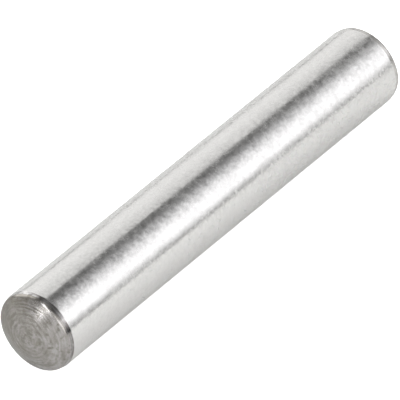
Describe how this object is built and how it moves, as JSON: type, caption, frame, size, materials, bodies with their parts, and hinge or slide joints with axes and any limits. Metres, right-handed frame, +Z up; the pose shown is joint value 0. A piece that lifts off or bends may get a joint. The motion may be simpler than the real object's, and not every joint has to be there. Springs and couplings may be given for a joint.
{
  "type": "dowel pin",
  "caption": "Straight solid steel pin with chamfered and crowned ends, pressed into reamed holes to line up mating parts.",
  "frame": {"origin": "middle of the pin, on its axis", "axes": "+X along the pin's axis, +Z up with the pin lying level, +Y across it"},
  "size_m": [0.052, 0.008, 0.008],
  "materials": {
    "steel": "ground satin shank and lead-ins, turned crowns"
  },
  "bodies": {
    "root": {"dowel_pin": "steel"}
  },
  "joints": []
}
